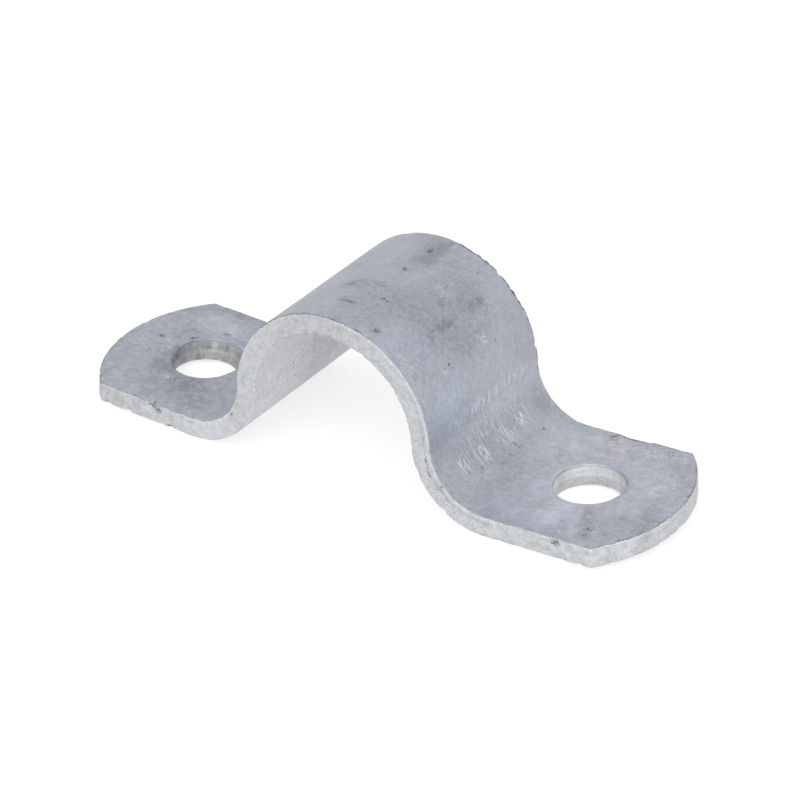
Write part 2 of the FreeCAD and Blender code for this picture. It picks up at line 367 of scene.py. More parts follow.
def bumps(millimetres, size, seed):
    """Smooth noise from about -1 to 1, with lumps about as wide as size in millimetres."""
    shift = Vector([seed * step for step in SEED_SHIFT])
    return np.array([noise.noise(Vector(place) / size + shift) for place in millimetres])


def soft_step(value, low, high):
    """0 below low, 1 above high, and smooth between. Low may be the larger."""
    share = np.clip((value - low) / (high - low), 0, 1)
    return share * share * (3 - 2 * share)


# Lumps and nicks: along, across and up from the blank's middle, reach, and height, all in millimetres.
LUMPS = (
    (45.3, 13.2, 1.65, 0.6, 0.2),
    (44.9, 14.1, 1.65, 0.6, -0.3),
    (46.2, 13.8, 1.65, 0.6, 0.16),
    (47.6, 15.1, 1.65, 1.4, -0.25),
    (49.5, 14.9, 1.65, 0.9, -0.16),
    (50.7, 13.9, 1.65, 0.7, 0.14),
    (-47.4, -15.1, 1.2, 0.8, -0.3),
    (-48.4, -15.1, 1.5, 0.6, 0.1),
    (52, -15.1, 0.9, 0.7, -0.25),
    (24.8, -15.1, 1.4, 0.8, -0.18),
    (30.4, -15.1, 1.3, 0.7, -0.16),
    (31.2, -15.1, 0.3, 0.8, -0.12),
    (-52.3, -15.1, -1.6, 0.5, -0.3),
    (-56, -15.1, -1.6, 0.5, -0.25),
    (-44, -15.1, -1.6, 0.4, -0.28),
    (3.5, -5.6, 1.65, 0.5, -0.1),
    (6.2, -12.7, 1.65, 0.5, -0.12),
    (1.1, 10, 1.65, 0.5, -0.1),
)

# Depth of the nicks along the top and bottom corners, and how much the arch's back edge adds to them.
TOP_NICKS, LOW_NICKS, JAGS = 0.25, 0.45, 1.8

# How the punch and the zinc drew the left hole and the right one, in millimetres: dip of the rim, how far it
# reaches out, and how far the hole opens to the back on top.
DRAWN_LEFT = (0.18, 1.4, 1.35)
DRAWN_RIGHT = (0.08, 0.9, 0.62)


def zinc_height(flat, normals, edges):
    """How far the zinc stands out from the smooth blank at each point, in millimetres."""
    places = flat / MM
    inset, from_hole, depth = edges.T / MM
    height = BAR.thick / MM - depth
    # The cut faces are lumpy, and the holes' walls less so.
    edge_on = 1 - soft_step(np.abs(normals[:, 2]), 0.3, 0.8)
    edge_on *= 0.25 + 0.75 * soft_step(from_hole, 0.3, 1.0)
    rolled = 0.028 * bumps(places, 8, 1) + 0.010 * bumps(places, 2, 2)
    sheared = 0.045 * bumps(places, 1.5, 3) + 0.030 * bumps(places, 0.7, 4) - 0.03
    heights = rolled + edge_on * sheared
    top_corner = np.exp(-((inset - 0.1) ** 2 + (depth - 0.1) ** 2) / 0.20)
    low_corner = np.exp(-((inset - 0.1) ** 2 + (height - 0.1) ** 2) / 0.25)
    nicks = np.maximum(bumps(places, 1.3, 5) - 0.12, 0)
    jagged = soft_step(places[:, 1], 10, 14) * soft_step(places[:, 0], 2, 6) * soft_step(places[:, 0], 26, 22)
    nicks += JAGS * jagged * np.maximum(bumps(places, 0.8, 6), 0)
    heights -= (TOP_NICKS * top_corner + LOW_NICKS * low_corner) * nicks
    for *centre, reach, lump in LUMPS:
        heights += lump * np.exp(-(np.linalg.norm(places - centre, axis=1) / reach) ** 2)
    return heights


def punch_draw(flat, line, edges):
    """How the punch and the zinc moved the metal round the holes: dipped on top, and open to the back."""
    side = np.where(flat[:, 0] < 0, -1.0, 1.0)
    dip, reach, flare = (np.where(side < 0, left, right) * MM for left, right in zip(DRAWN_LEFT, DRAWN_RIGHT))
    rim = np.exp(-np.clip(edges[:, 1], 0, None) / reach)
    down = np.where(flat[:, 2] > 0, -dip * rim, 0)
    spoke = np.column_stack([flat[:, 0] - side * line.hole, flat[:, 1]])
    spoke /= np.linalg.norm(spoke, axis=1)[:, None]
    high = np.clip(1 - edges[:, 2] / BAR.thick, 0, 1)
    out = flare * rim * high * soft_step(spoke[:, 1], -0.3, 0.9)
    return np.column_stack([spoke * out[:, None], down])


def edge_places(flat, line):
    """How far each point is in from the bar's outline, out from the hole's wall, and down from the top."""
    along = np.abs(flat[:, 0])
    side = BAR.width / 2 - np.abs(flat[:, 1])
    toe = line.toe_radius - np.hypot(along - line.toe_centre, flat[:, 1])
    inset = np.where(along > line.hole, np.minimum(side, toe), side)
    from_hole = np.hypot(along - line.hole, flat[:, 1]) - BAR.hole_radius
    return np.column_stack([inset, from_hole, line.half - flat[:, 2]])


# -------------------- the zinc's marks

TOP, SEAT, BOTH = 1, -1, 0

# Clouds in the zinc, and some patches of painted shade and painted light, marked below: face, along and
# across in millimetres, reaches, tilt in degrees, and what they change: tone, and warmth from blue to brown.
CLOUDS_AND_PAINTED_LIGHT = (
    (TOP, -3.5, 8.5, 3.2, 5.5, 5, 0.1, -0.05),
    (TOP, 1.3, 9.5, 1.4, 5, 0, -0.1, 0.05),
    # Painted shade: the next two darken the arch's right slope, against the fill lamp's light on it.
    (TOP, 9.5, -1, 7, 6, 10, -0.13, 0.12),
    (TOP, 10.5, 6.5, 5.5, 4, -20, -0.12, 0.05),
    (TOP, 13.5, 11.2, 3.2, 1.6, 0, -0.06, 0.45),
    # Painted light: the next two lighten the zinc where the arch's right leg meets its foot bend, against the
    # shade in that concave bend.
    (TOP, 21, 0, 3, 14, 0, 0.05, 0),
    (TOP, 24.8, -1, 2.6, 15, 0, 0.12, -0.2),
    (TOP, 11, -5.6, 0.7, 0.7, 0, -0.16, -0.3),
    (TOP, -1.8, -4.2, 2.6, 1.6, 25, -0.08, 0.15),
    (TOP, -2.4, -2.9, 1.8, 0.5, 35, -0.15, 0.1),
    (TOP, 0.2, -2.6, 1.6, 0.5, -15, -0.16, 0.1),
    (TOP, -3.2, -4.4, 1.1, 0.3, 0, -0.32, 0),
    (TOP, -0.8, -9.3, 1.5, 0.4, 4, -0.42, 0),
    (TOP, -1.4, -8.4, 1.2, 0.3, 0, -0.18, 0),
    (TOP, 2, -9, 4.5, 5, 0, -0.07, 0),
    (TOP, 11.3, 7, 0.9, 2.4, 8, -0.16, 0),
    (TOP, 11, -1.6, 0.7, 3.4, -8, -0.1, 0),
    (TOP, 8.2, 1.2, 0.9, 0.6, 0, -0.14, 0),
    (TOP, 7, -6, 4, 4, 0, -0.05, 0),
    (TOP, 1, 3.2, 0.6, 1.4, 0, -0.12, 0.2),
    (TOP, 17, -7, 5, 5, -10, 0.03, -0.45),
    (TOP, 10.5, -10.5, 4, 4, 0, 0.04, -0.4),
    (TOP, 22, 9, 4, 5, 0, -0.03, -0.05),
    (TOP, 20.5, -10.5, 3, 4, 0, 0.04, -0.3),
    (TOP, 25.8, 0, 2.4, 9, 0, 0.03, 0.2),
    (TOP, 30.5, 12.7, 3.6, 2, 0, -0.14, -0.15),
    (TOP, 35, 1.5, 2, 8, 0, -0.08, 0.15),
    (TOP, 38.5, 3, 2, 1.6, 0, -0.05, 0.55),
    (TOP, 39.5, 8.5, 4, 4, 20, 0.08, 0.1),
    (TOP, 41, -6, 4, 5, 0, 0.08, 0),
    (TOP, 46, 0, 15, 14, 0, 0.15, 0.08),
    (TOP, 31, -3, 5, 11, 0, -0.11, -0.2),
    (TOP, 48, 9, 5.5, 2.2, 0, 0, 0.6),
    (TOP, 46, 12, 5, 2, 0, 0.12, 0.25),
    (TOP, 49, -8.8, 3.2, 3.2, 10, 0.2, -0.3),
    (TOP, 44.5, -11.5, 7, 3, 0, 0.13, -0.25),
    (TOP, 37, -4, 2.6, 8, 0, -0.13, 0),
    (TOP, 53.4, 1.5, 1, 3.6, 15, -0.16, 0.1),
    (TOP, 57, 5.5, 2.6, 4, 0, 0.07, 0),
    (TOP, 60.3, -2, 1.6, 5, 0, -0.06, 0),
    (TOP, 57, -4, 2, 2.6, 0, 0.08, 0),
    # Painted shade: the next five darken the dished zinc round the left hole, for the shade that falls in
    # that dip.
    (TOP, -51.8, -4.6, 3.2, 2.4, 35, -0.24, -0.1),
    (TOP, -46.5, -6.6, 4, 2.2, -10, -0.22, -0.05),
    (TOP, -45.5, -10.5, 8, 3.6, 0, -0.12, -0.05),
    (TOP, -50, -6, 8, 6, 0, -0.05, 0),
    (TOP, -54.2, -1.5, 1.3, 3.4, 0, -0.22, -0.1),
    (TOP, -57.3, 2.2, 2, 3, 0, 0.05, 0.45),
    (TOP, -53, 9.5, 5.5, 3.4, 0, 0.16, 0.05),
    (TOP, -60, -3, 2.4, 4, 0, 0.02, -0.2),
    (TOP, -52, 14, 4.5, 1, 0, -0.14, -0.1),
    (SEAT, -24, -9, 6, 6, 0, 0.04, 0.1),
    (BOTH, -2, -15.1, 10, 0.5, 0, -0.08, 0),
    (BOTH, -36, -15.1, 5, 0.5, 0, 0.11, 0),
    (BOTH, -55, -15.1, 6, 0.5, 0, -0.06, 0.1),
    (BOTH, 38, -15.1, 7, 0.5, 0, 0.04, 0),
    (BOTH, 62.4, -7.5, 1.6, 6.5, 20, -0.09, 0),
)

# Tide marks: face, a point on the mark, its direction in degrees, how far it runs and fades, change of tone.
TIDES = (
    (TOP, 2.9, 10.3, 92, 4.6, 3.2, -0.22),
    (TOP, 52.8, -9, 111, 4.5, -3.6, -0.2),
    (SEAT, -25.5, 0, 0, 9, 9, -0.14),
    (TOP, 22.3, 0, 90, 11, -3, 0.06),
)

# Crowded specks: face, along and across in millimetres, reaches, and strength: above 0 in dark ash, and below
# it in bright zinc.
SPECKS = (
    (TOP, 11.2, 7.2, 1.1, 2.4, 1.4),
    (TOP, 11, -1.6, 0.8, 3.6, 1.3),
    (TOP, 34.4, 2, 0.8, 8.5, 0.7),
    (TOP, 32.8, -1.5, 1.6, 8, 0.35),
    (TOP, -1, -3.6, 2.4, 1, 0.6),
    (TOP, 6.6, 4.2, 0.9, 1.6, 0.8),
    (TOP, 7.6, 1, 2, 0.8, 0.8),
    (TOP, 9.2, 2.6, 1, 0.8, 0.6),
    (TOP, 15.6, -5.8, 1, 1.6, 0.8),
    (TOP, 15.8, 4.6, 1.6, 1.6, 0.5),
    (TOP, 46, 12.4, 1.8, 1.4, 1),
    (TOP, 50.6, 12, 1.4, 0.9, 0.8),
    (TOP, 55.2, -11, 1.3, 2.2, 0.8),
    (TOP, -57.5, -1.5, 2.6, 2.2, 0.5),
    (TOP, -49, -7.4, 2.8, 1, 0.6),
    (TOP, -54.5, -3.5, 1.6, 2.4, 0.6),
    (SEAT, -25.5, -3.5, 4, 3.5, 0.35),
    (TOP, -50.1, -7.2, 1.5, 1, -1),
    (TOP, -45, -6.2, 2.4, 0.8, -0.7),
    (TOP, -60.4, -2, 1.6, 3, -0.8),
    (TOP, 15.6, 4, 1.4, 1.6, -0.9),
    (TOP, 16.2, -6.6, 1.4, 1.6, -0.5),
    (TOP, 14, -13.6, 5, 1.2, -0.8),
    (TOP, 12.4, 9.6, 3, 2.4, -0.5),
    (TOP, 23.4, 0.5, 1.4, 10, -0.5),
    (TOP, 54, 12.2, 7, 2.2, -0.8),
    (TOP, 58, 6, 3.4, 4, -0.6),
    (TOP, 46, 9, 5, 2.6, -0.5),
    (TOP, 41.5, 3, 3, 8, -0.4),
)

# Painted shade along the edges, partly ash: along from and to, across from and to, in millimetres, and how
# dark.
SHADED_AND_ASHY_EDGES = (
    (-13, 7, -16, -12, 0.9),
    (-64, -36, -16, -12, 0.5),
    (10, 32, -16, -12, 0.3),
    (32, 64, -16, -12, 0.5),
    (-64, -36, 12, 16, 1),
    (2, 26, 12, 16, 1.7),
    (30, 43, 12, 16, 0.8),
    (44.5, 52.5, 12, 16, 1.8),
    (52.5, 64, 12, 16, 0.9),
    (54.6, 64, -15, 15, 0.8),
    (-64, -54.6, -15, 15, 0.6),
    (42.5, 45.5, -4.5, 5.5, 0.9),
    (-54.6, -46, 0, 6, 0.3),
)

# Where the forming tool rubbed: along and across in millimetres, reaches, and strength.
RUBBED = (
    (23.2, 0.5, 1.1, 10, 1),
    (30.4, 7.4, 2.6, 1.8, 1),
    (30.8, 1.5, 2.4, 3.8, 0.75),
    (30.8, -4.6, 2.6, 1.8, 1),
    (30.4, -8.8, 2.2, 1.8, 0.9),
    (26.8, 0, 4.2, 9.5, 0.42),
)


def turned(places, along, across, degrees):
    """How far each place lies along and across a line through a point, turned by some degrees."""
    beside = places[:, 0] - along, places[:, 1] - across
    turn = math.radians(degrees)
    return (
        beside[0] * math.cos(turn) + beside[1] * math.sin(turn),
        beside[1] * math.cos(turn) - beside[0] * math.sin(turn),
    )


def patch(places, torn, along, across, reach_along, reach_across, tilt=0):
    """Soft oval patch with a torn edge: 1 inside, 0 outside."""
    down, away = turned(places, along, across, tilt)
    return soft_step(np.hypot(down / reach_along, away / reach_across) + torn, 1.3, 0.35)


def tide_mark(places, torn, along, across, direction, run, fade):
    """Ragged line, sharp on one side. It fades out to its left, or to its right where fade is below 0."""
    down, away = turned(places, along, across, direction)
    ragged = away * math.copysign(1, fade) + 0.4 * torn
    mark = soft_step(ragged, -0.15, 0.15) * np.exp(-np.clip(ragged, 0, None) / abs(fade))
    return mark * soft_step(np.abs(down), run * 1.2, run * 0.7)


def marks_and_painted_light(flat):
    """Tone, with its painted shade and painted light, specks, rubbing and warmth of the zinc at each point,
    as a colour.
    """
    places = flat / MM
    faces = {TOP: flat[:, 2] > 0, SEAT: flat[:, 2] < 0, BOTH: 1}
    torn = 0.30 * bumps(places, 2.5, 11) + 0.18 * bumps(places, 0.9, 12)
    tone = np.full(len(flat), 0.5)
    warmth = 0.5 + 0.30 * bumps(places, 7, 13) + 0.26 * bumps(places, 2.5, 14)
    # A patch from the table: some patches are clouds in the zinc, others painted shade and painted light, as
    # marked there.
    for face, *shape, change, warmer in CLOUDS_AND_PAINTED_LIGHT:
        cloud = faces[face] * patch(places, torn, *shape)
        tone += change * cloud
        warmth += warmer * cloud
    for face, *shape, change in TIDES:
        tone += change * faces[face] * tide_mark(places, torn, *shape)
    specks = np.zeros(len(flat))
    for face, *shape, strength in SPECKS:
        spot = strength * faces[face] * patch(places, torn, *shape)
        specks = np.where(np.abs(spot) > np.abs(specks), spot, specks)
    rubbing = np.zeros(len(flat))
    for *shape, strength in RUBBED:
        rubbing = np.maximum(rubbing, strength * faces[TOP] * patch(places, torn, *shape))
    return np.column_stack([tone, specks, rubbing, warmth])


def rough_tone(flat, edges):
    """Change of tone where the zinc is mottled: on the feet and on the cut faces."""
    places = flat / MM
    feet = soft_step(np.abs(places[:, 0]), 33, 40)
    cut = soft_step(edges[:, 0], 0.2 * MM, 0.0)
    mottled = 0.13 * bumps(places, 1.4, 18) + 0.09 * bumps(places, 0.7, 19)
    return feet * mottled + cut * 0.13 * bumps(places, 0.9, 20)


def hole_tone(flat, edges):
    """Change of tone in the holes: dull and scored in the left one, pale and smeared in the right one."""
    places = flat / MM
    wall = soft_step(edges[:, 1], 0.5 * MM, 0.0) * soft_step(edges[:, 2], 0.1 * MM, 0.5 * MM)
    scored = -0.28 + 0.16 * bumps(places * (1, 1, 0.15), 0.4, 16)
    smeared = 0.02 - 0.12 * soft_step(bumps(places * (0.5, 0.5, 1.6), 1.0, 17), 0.15, 0.45)
    return wall * np.where(flat[:, 0] < 0, scored, smeared)


def shade_and_ash_along_edges(flat):
    """How dark the painted shade and ash lie at each point, should it be near an edge."""
    places = flat / MM
    ash_and_shade = np.zeros(len(flat))
    for start, end, front, back, strength in SHADED_AND_ASHY_EDGES:
        along = soft_step(places[:, 0], start - 1, start + 1) * soft_step(places[:, 0], end + 1, end - 1)
        across = soft_step(places[:, 1], front - 0.5, front) * soft_step(places[:, 1], back + 0.5, back)
        ash_and_shade = np.maximum(ash_and_shade, strength * along * across)
    under = np.where(flat[:, 2] < 0, 0.4, 1.0)
    return under * ash_and_shade * np.clip(0.75 + 0.9 * bumps(places, 2.2, 15), 0, 1.3)


def blank_mesh(flat, faces):
    """Mesh of the flat blank with its faces turned outwards, and the normal at each of its points."""
    mesh = bpy.data.meshes.new("galvanised_strap")
    mesh.from_pydata(flat.tolist(), [], faces.tolist())
    work = bmesh.new()
    work.from_mesh(mesh)
    bmesh.ops.recalc_face_normals(work, faces=work.faces)
    work.to_mesh(mesh)
    work.free()
    normals = np.zeros(len(flat) * 3)
    mesh.vertex_normals.foreach_get("vector", normals)
    return mesh, normals.reshape(-1, 3)


def build_strap(context):
    """Meshes the blank, raises its zinc, bends it and gives it its finish."""
    shape = context.scene.strap_shape
    line = bend_line(shape)
    flat, faces = flat_blank(shape, line)
    mesh, normals = blank_mesh(flat, faces)

    edges = edge_places(flat, line)
    heights = zinc_height(flat, normals, edges) * shape.zinc_lumps * MM
    raised = flat + normals * heights[:, None] + punch_draw(flat, line, edges)
    low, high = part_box(NODE)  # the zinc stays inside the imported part's box
    bent = np.clip(bend_points(line, raised), low, high)
    mesh.vertices.foreach_set("co", bent.ravel())
    for name, values in ((PLACE, flat), (EDGES, edges)):
        mesh.attributes.new(name, "FLOAT_VECTOR", "POINT").data.foreach_set("vector", values.ravel())
    marks = marks_and_painted_light(flat)
    marks[:, 0] += rough_tone(flat, edges) + hole_tone(flat, edges)
    colours = mesh.color_attributes.new(name=MARKS_AND_PAINTED_LIGHT, type="FLOAT_COLOR", domain="POINT")
    colours.data.foreach_set("color", marks.ravel())
    mesh.attributes.new(EDGE_SHADE_AND_ASH, "FLOAT", "POINT").data.foreach_set("value", shade_and_ash_along_edges(flat))
    mesh.polygons.foreach_set("use_smooth", [True] * len(mesh.polygons))
    mesh.update()

    strap = bpy.data.objects.new("galvanised_strap", mesh)
    context.scene.collection.objects.link(strap)
    mesh.materials.append(zinc_material(context.scene.zinc_finish))
    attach(strap, "root")
    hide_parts(NODE)


# -------------------- nodes


def add(tree, kind, inputs=None, **settings):
    """Adds a node, sets it up, and links or sets its inputs."""
    node = tree.nodes.new(kind)
    for name, value in settings.items():
        setattr(node, name, value)
    for socket, value in (inputs or {}).items():
        if isinstance(value, bpy.types.NodeSocket):
            tree.links.new(value, node.inputs[socket])
        else:
            node.inputs[socket].default_value = value
    return node


def calculate(tree, operation, first, second=0.5, third=0.5, clamp=False):
    """Output of a Math node."""
    node = add(tree, "ShaderNodeMath", {0: first, 1: second, 2: third}, operation=operation, use_clamp=clamp)
    return node.outputs[0]


def plus(tree, level, value, amount):
    """Level with an amount of a value added."""
    return calculate(tree, "MULTIPLY_ADD", value, amount, level)


def swing(tree, level, noise_value, amount):
    """Level moved down and up by a noise that goes from 0 to 1."""
    return plus(tree, level, calculate(tree, "SUBTRACT", noise_value, 0.5), amount)


def combine(tree, operation, values):
    """Values taken together, one after another, by a Math node's operation."""
    result = values[0]
    for value in values[1:]:
        result = calculate(tree, operation, result, value)
    return result


def times(tree, *values):
    """Product of values."""
    return combine(tree, "MULTIPLY", values)


def largest(tree, *values):
    """Largest of values."""
    return combine(tree, "MAXIMUM", values)


def remap(tree, value, low, high, to_low=0.0, to_high=1.0):
    """Value brought from one range to another, with soft ends."""
    ranges = {"Value": value, "From Min": low, "From Max": high, "To Min": to_low, "To Max": to_high}
    return add(tree, "ShaderNodeMapRange", ranges, interpolation_type="SMOOTHSTEP").outputs["Result"]


def mix(tree, share, first, second, blend="MIX"):
    """Output of a colour mix."""
    node = add(tree, "ShaderNodeMix", {0: share, 6: first, 7: second}, data_type="RGBA", blend_type=blend)
    return node.outputs[2]


def vector_maths(tree, operation, first, second):
    """Output of a Vector Math node."""
    return add(tree, "ShaderNodeVectorMath", {0: first, 1: second}, operation=operation).outputs[0]


def attribute(tree, name, output):
    """What the mesh knows by a name."""
    return add(tree, "ShaderNodeAttribute", attribute_name=name).outputs[output]


def colour(value):
    """A property's colour as a node takes it."""
    return (*value, 1.0)


def new_material(name):
    """Material without nodes, and its tree."""
    material = bpy.data.materials.new(name)
    material.use_nodes = True
    material.node_tree.nodes.clear()
    return material, material.node_tree


def new_group(name, output, *inputs):
    """Node group that puts one value out, with the bar's place and named numbers put in."""
    tree = bpy.data.node_groups.new(name, "ShaderNodeTree")
    new_socket = tree.interface.new_socket
    new_socket(name="Place", in_out="INPUT", socket_type="NodeSocketVector")
    for socket in inputs:
        new_socket(name=socket, in_out="INPUT", socket_type="NodeSocketFloat")
    new_socket(name=output, in_out="OUTPUT", socket_type="NodeSocketFloat")
    return tree, tree.nodes.new("NodeGroupInput").outputs, tree.nodes.new("NodeGroupOutput").inputs[output]


def use(tree, group, **inputs):
    """Places a node group with its own values, and gives what it puts out."""
    return add(tree, "ShaderNodeGroup", inputs, node_tree=group).outputs[0]


def per_metre(tree, millimetres):
    """Texture scale for features some millimetres wide."""
    return calculate(tree, "DIVIDE", 1 / MM, millimetres)


def noise_texture(tree, place, scale, detail, roughness=0.5):
    """Output of a noise texture, from 0 to 1."""
    inputs = {"Vector": place, "Scale": scale, "Detail": detail, "Roughness": roughness}
    return add(tree, "ShaderNodeTexNoise", inputs).outputs["Fac"]


def cloud_group():
    """Soft clouds some millimetres wide, from 0 to 1."""
    tree, given, out = new_group("zinc_clouds", "Value", "Size", "Detail", "Contrast")
    clouds = noise_texture(tree, given["Place"], per_metre(tree, given["Size"]), given["Detail"], 0.55)
    centred = calculate(tree, "SUBTRACT", clouds, 0.5)
    tree.links.new(calculate(tree, "MULTIPLY_ADD", centred, given["Contrast"], 0.5, clamp=True), out)
    return tree


def dot_group():
    """Scattered ragged dots: 1 in a dot. Share is how many of the places for one are taken."""
    tree, given, out = new_group("zinc_dots", "Mask", "Spacing", "Radius", "Share")
    scale = per_metre(tree, given["Spacing"])
    cells = add(tree, "ShaderNodeTexVoronoi", {"Vector": given["Place"], "Scale": scale})
    luck = add(tree, "ShaderNodeSeparateColor", {"Color": cells.outputs["Color"]}).outputs
    chosen = calculate(tree, "LESS_THAN", luck["Red"], given["Share"])
    size = plus(tree, 0.45, luck["Green"], 0.9)
    reach = times(tree, calculate(tree, "DIVIDE", given["Radius"], given["Spacing"]), size)
    ragged = noise_texture(tree, given["Place"], times(tree, scale, 6.0), 2.0)
    away = swing(tree, cells.outputs["Distance"], ragged, reach)
    mask = remap(tree, calculate(tree, "DIVIDE", away, reach), 1.2, 0.6)
    tree.links.new(times(tree, mask, chosen), out)
    return tree


def streak_group():
    """Fine streaks along the bar: 1 on a streak."""
    tree, given, out = new_group("zinc_streaks", "Mask", "Length", "Pitch", "Level", "Soft")
    along = per_metre(tree, given["Length"])
    across = per_metre(tree, given["Pitch"])
    factors = add(tree, "ShaderNodeCombineXYZ", {"X": along, "Y": across, "Z": along})
    place = vector_maths(tree, "MULTIPLY", given["Place"], factors.outputs[0])
    top = calculate(tree, "ADD", given["Level"], given["Soft"])
    tree.links.new(remap(tree, noise_texture(tree, place, 1.0, 1.0), given["Level"], top), out)
    return tree


# -------------------- the zinc's finish

# Clouds and grains of the zinc: size in millimetres, detail and contrast.
NOISES = {
    "cloud": (9.0, 4.0, 2.8),
    "mottle": (2.0, 3.0, 2.6),
    "coarse": (0.9, 3.0, 2.8),
    "grain": (0.36, 2.0, 2.6),
    "speckle": (0.24, 1.0, 3.4),
}
# Streaks along the bar: length and pitch in millimetres, the noise at which they start, and how softly.
STREAKS = {
    "fibres": (1.6, 0.30, 0.35, 0.35),
    "long_lines": (4.5, 0.19, 0.61, 0.04),
    "short_lines": (1.4, 0.20, 0.58, 0.04),
    "scores": (2.6, 0.23, 0.58, 0.05),
}
# How much the noises, and the burr and the lip of the sheared edges, change the zinc's tone.
TONE = SimpleNamespace(
    grain_in_clouds=0.16, grain_in_mottle=0.18, coarse=0.14, coarse_on_cuts=0.14, mottle=0.15, fibres=0.05,
    burr=0.12, lip=-0.35,
)
# How much each mark covers the zinc below it.
COVER = SimpleNamespace(
    scattered=0.4, specks=0.38, edges=0.60, pits=0.72, stain=0.28, flecks=0.38, scores=0.5, lines=0.9,
)
# What each gives to the roughness, and to the height of the fine relief.
ROUGHNESS = SimpleNamespace(plain=0.44, mottle=0.12, cuts=0.10, lines=-0.15)
RELIEF = SimpleNamespace(grain=0.15, grain_on_cuts=0.9, coarse_on_cuts=0.8, mottle=0.25, ash_and_shade=-1.2, lines=0.5)
RELIEF_HEIGHT = 0.07 * MM
RELIEF_STRENGTH = 0.6
METALLIC = 0.55

# Pits in the top face: along and across in millimetres, and reaches.
FACE_PITS = (
    (1.1, 10.2, 0.55, 0.75),
    (1, 3.2, 0.35, 0.65),
    (3, -5.5, 0.4, 0.4),
    (3.7, -5.6, 0.35, 0.45),
    (6.1, -12.6, 0.6, 0.55),
    (8.2, 11.5, 0.28, 0.35),
    (15.5, -5.7, 0.3, 0.35),
    (15.6, -6.8, 0.25, 0.45),
    (-58.6, 1.8, 0.6, 0.6),
    (-50.2, 7.9, 0.5, 0.6),
    (-53.7, 4, 0.7, 0.6),
    (34.6, 9, 0.3, 0.35),
    (45, 13.8, 0.75, 0.6),
    (45.3, 12.9, 0.4, 0.35),
    (47.8, 14.8, 2.4, 0.42),
    (55, -10.8, 0.6, 0.45),
    (55.2, -12.4, 0.4, 0.4),
)
# Pits in the edges: centre from the blank's middle, and reaches, in millimetres.
EDGE_PITS = (
    (52, -15.1, 0.9, 0.75, 0.8, 0.55),
    (-47.5, -15.1, 1.3, 0.7, 0.8, 0.45),
    (-30, -15.1, 1, 0.4, 0.8, 0.25),
    (-46.4, -15.1, 0.8, 0.75, 0.8, 0.5),
    (-44.3, -15.1, -1.5, 0.55, 0.8, 0.35),
    (60.2, -13.2, -1, 0.4, 0.5, 0.45),
    (31, -15.1, 1.1, 0.25, 0.6, 0.3),
    (26, -15.1, 0.6, 0.45, 0.6, 0.22),
    (28.2, -15.1, 0.4, 0.5, 0.6, 0.18),
)
FACE_PIT_DEPTH = 1.0


def zinc_fields(tree):
    """What the finish is made of: the mesh's marks, the noises and the streaks."""
    place = attribute(tree, PLACE, "Vector")
    marks = add(tree, "ShaderNodeAttribute", attribute_name=MARKS_AND_PAINTED_LIGHT).outputs
    parts = add(tree, "ShaderNodeSeparateColor", {"Color": marks["Color"]}).outputs
    zinc = SimpleNamespace(
        place=place, tone=parts["Red"], crowd=parts["Green"], rubbing=parts["Blue"], warmth=marks["Alpha"],
    )
    clouds = cloud_group()
    for name, (size, detail, contrast) in NOISES.items():
        setattr(zinc, name, use(tree, clouds, Place=place, Size=size, Detail=detail, Contrast=contrast))
    streaks = streak_group()
    for name, (run, pitch, level, soft) in STREAKS.items():
        setattr(zinc, name, use(tree, streaks, Place=place, Length=run, Pitch=pitch, Level=level, Soft=soft))
    return zinc


# Between these two, over from the cut face to the flat one, the cut face's zinc gives way to the flat one's.
CUT_FROM, CUT_TO = -0.10 * MM, 0.06 * MM


def edge_masks(tree, zinc):
    """Where the cut faces, the hole walls and the under side lie, and the painted shade and ash along the
    sharp edges.
    """
    parts = add(tree, "ShaderNodeSeparateXYZ", {"Vector": attribute(tree, EDGES, "Vector")}).outputs
    inset, from_hole, depth = parts
    along = add(tree, "ShaderNodeSeparateXYZ", {"Vector": zinc.place}).outputs["X"]
    height = calculate(tree, "SUBTRACT", BAR.thick, depth)
    wander = calculate(tree, "SUBTRACT", plus(tree, zinc.coarse, zinc.grain, 0.6), 0.8)
    outline = remap(tree, calculate(tree, "SUBTRACT", from_hole, inset), -0.5 * MM, 0.5 * MM)

    # How far over from the cut face to the flat one, from a line that wanders along the outline. At a hole it
    # lies down the wall.
    nearer = calculate(tree, "MINIMUM", inset, from_hole)
    over = calculate(tree, "SUBTRACT", nearer, calculate(tree, "MINIMUM", depth, height))
    over = calculate(tree, "ADD", over, plus(tree, 0.28 * MM, outline, -0.28 * MM))
    over = plus(tree, over, wander, plus(tree, 0.06 * MM, outline, 0.28 * MM))
    cut = remap(tree, over, CUT_TO, CUT_FROM)
    hole = calculate(tree, "SUBTRACT", 1.0, outline)

    # Painted shade, partly ash: a dark line along the sharp edges and the hole rims.
    ash_and_shade = attribute(tree, EDGE_SHADE_AND_ASH, "Fac")
    reach = plus(tree, 0.25 * MM, ash_and_shade, 0.30 * MM)
    rim = times(tree, remap(tree, over, CUT_FROM, CUT_TO), remap(tree, over, reach, 0.12 * MM), ash_and_shade)
    burr = times(
        tree, remap(tree, over, 0.0, CUT_FROM), remap(tree, over, -0.42 * MM, -0.20 * MM),
        remap(tree, depth, 1.2 * MM, 0.8 * MM), outline,
    )
    below = plus(tree, depth, wander, 0.5 * MM)
    lip = times(
        tree, remap(tree, below, 0.70 * MM, 0.85 * MM), remap(tree, below, 1.20 * MM, 1.00 * MM), outline,
        remap(tree, along, 12 * MM, 18 * MM), remap(tree, along, 44 * MM, 38 * MM),
    )
    return SimpleNamespace(
        cut=cut, hole=hole, rim=rim, burr=burr, lip=lip,
        sheared=calculate(tree, "SUBTRACT", cut, times(tree, cut, hole)),
        seat=remap(tree, height, 1.2 * MM, 0.6 * MM),
    )


